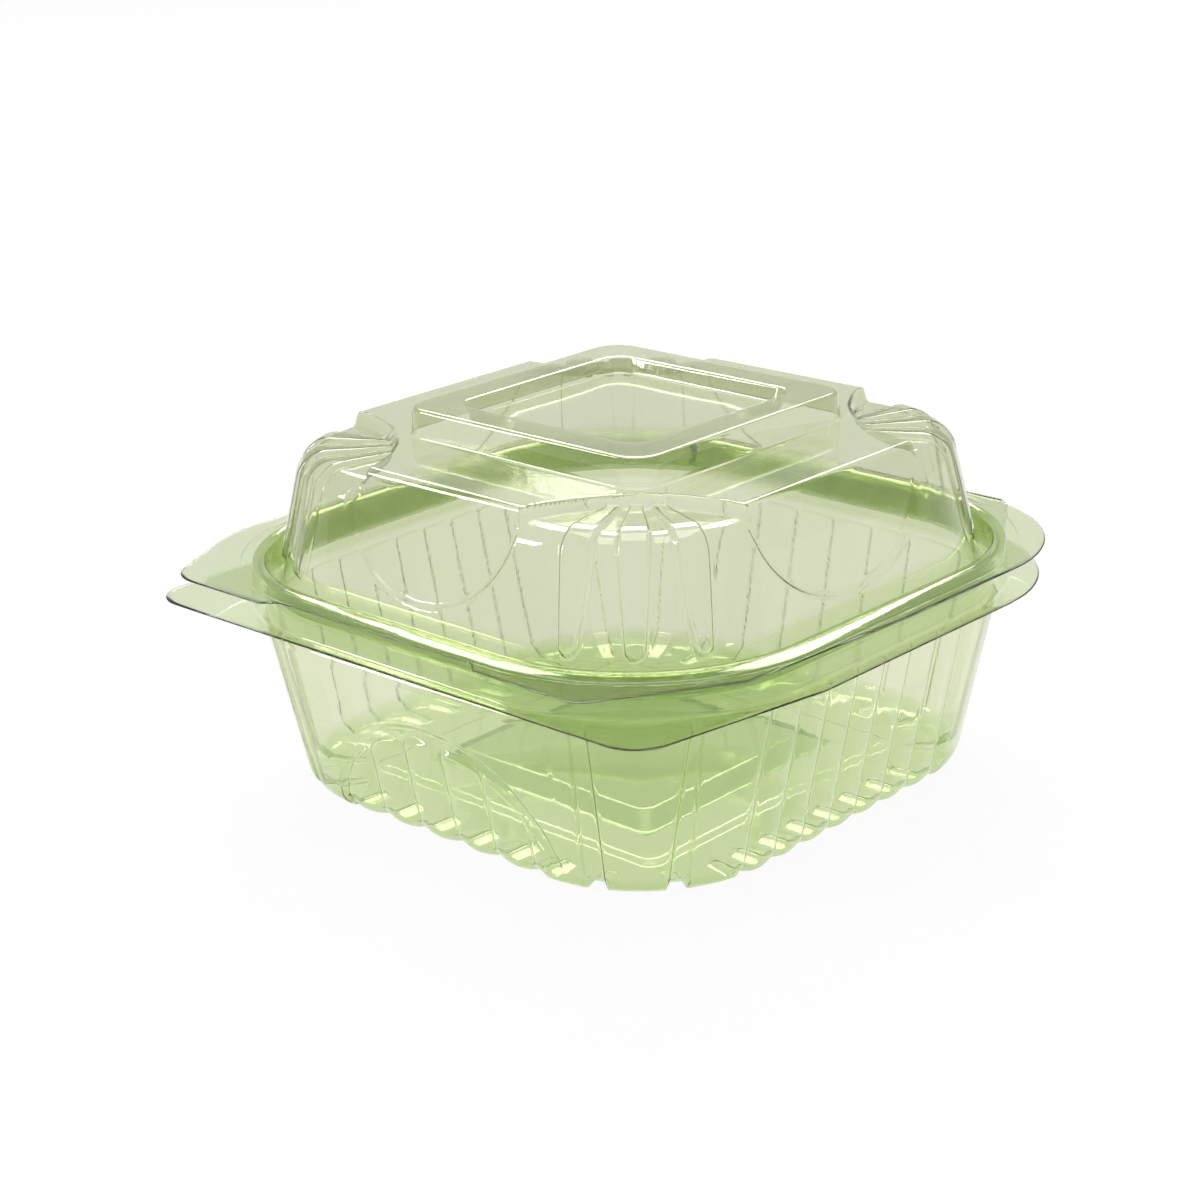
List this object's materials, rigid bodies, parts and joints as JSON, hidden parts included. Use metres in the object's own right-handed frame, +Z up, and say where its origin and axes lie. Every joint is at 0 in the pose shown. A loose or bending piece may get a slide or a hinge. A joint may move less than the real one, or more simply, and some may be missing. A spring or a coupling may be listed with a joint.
{
  "type": "hinged clamshell container",
  "caption": "Square hinged clamshell container in thin clear tinted sheet: ribbed tub and domed lid with half-moon side panels, folded along the back.",
  "frame": {"origin": "centre of the closed container's footprint, on the plane that the tub rests on", "axes": "+Z up, -Y is the front where the lid lifts, +Y is the folded back, +X is the side to the right of someone who faces the front"},
  "size_m": [0.155, 0.1566, 0.0857],
  "materials": {
    "clear_sheet": "clear, pale yellow-green, glossy thermoformed sheet"
  },
  "bodies": {
    "tub": {"tub": "clear_sheet", "tub_hinge_leaf": "clear_sheet"},
    "lid": {"lid": "clear_sheet", "lid_hinge_leaf": "clear_sheet"}
  },
  "joints": [
    {"name": "lid_hinge", "type": "hinge", "parent": "tub", "child": "lid", "pos_m": [0, 0.07855, 0.0475], "axis": [-1, 0, 0], "range_deg": [0, 180]}
  ]
}
